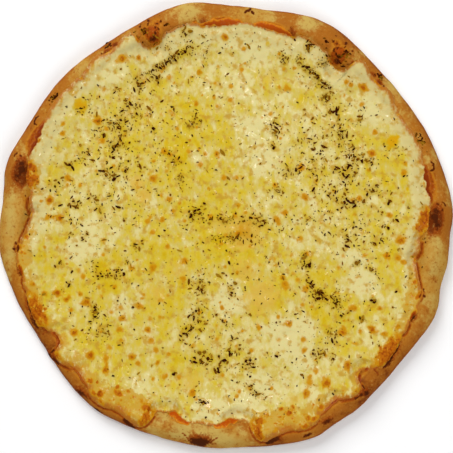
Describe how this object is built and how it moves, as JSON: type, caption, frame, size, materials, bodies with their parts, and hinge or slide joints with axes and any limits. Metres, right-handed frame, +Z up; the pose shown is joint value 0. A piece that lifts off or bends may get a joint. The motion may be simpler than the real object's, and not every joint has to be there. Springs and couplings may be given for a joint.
{
  "type": "four cheese pizza",
  "caption": "Whole round cheese pizza, uncut and flat underneath, with an uneven puffed crust, tomato sauce and a melted cheese top that runs over the rim in places.",
  "frame": {"origin": "middle of the flat underside, at the level that the pizza lies on", "axes": "+Z up through the pizza; +Y towards the edge that is at the top of the picture"},
  "size_m": [0.3039, 0.2995, 0.0176],
  "materials": {
    "baked_dough": "dry baked crust, tan with darker toasted and charred spots",
    "tomato_sauce": "moist, baked on",
    "melted_cheese": "oily sheen, pale yellow with toasted spots"
  },
  "bodies": {
    "root": {"dough": "baked_dough", "tomato_sauce": "tomato_sauce", "melted_cheese": "melted_cheese"}
  },
  "joints": []
}
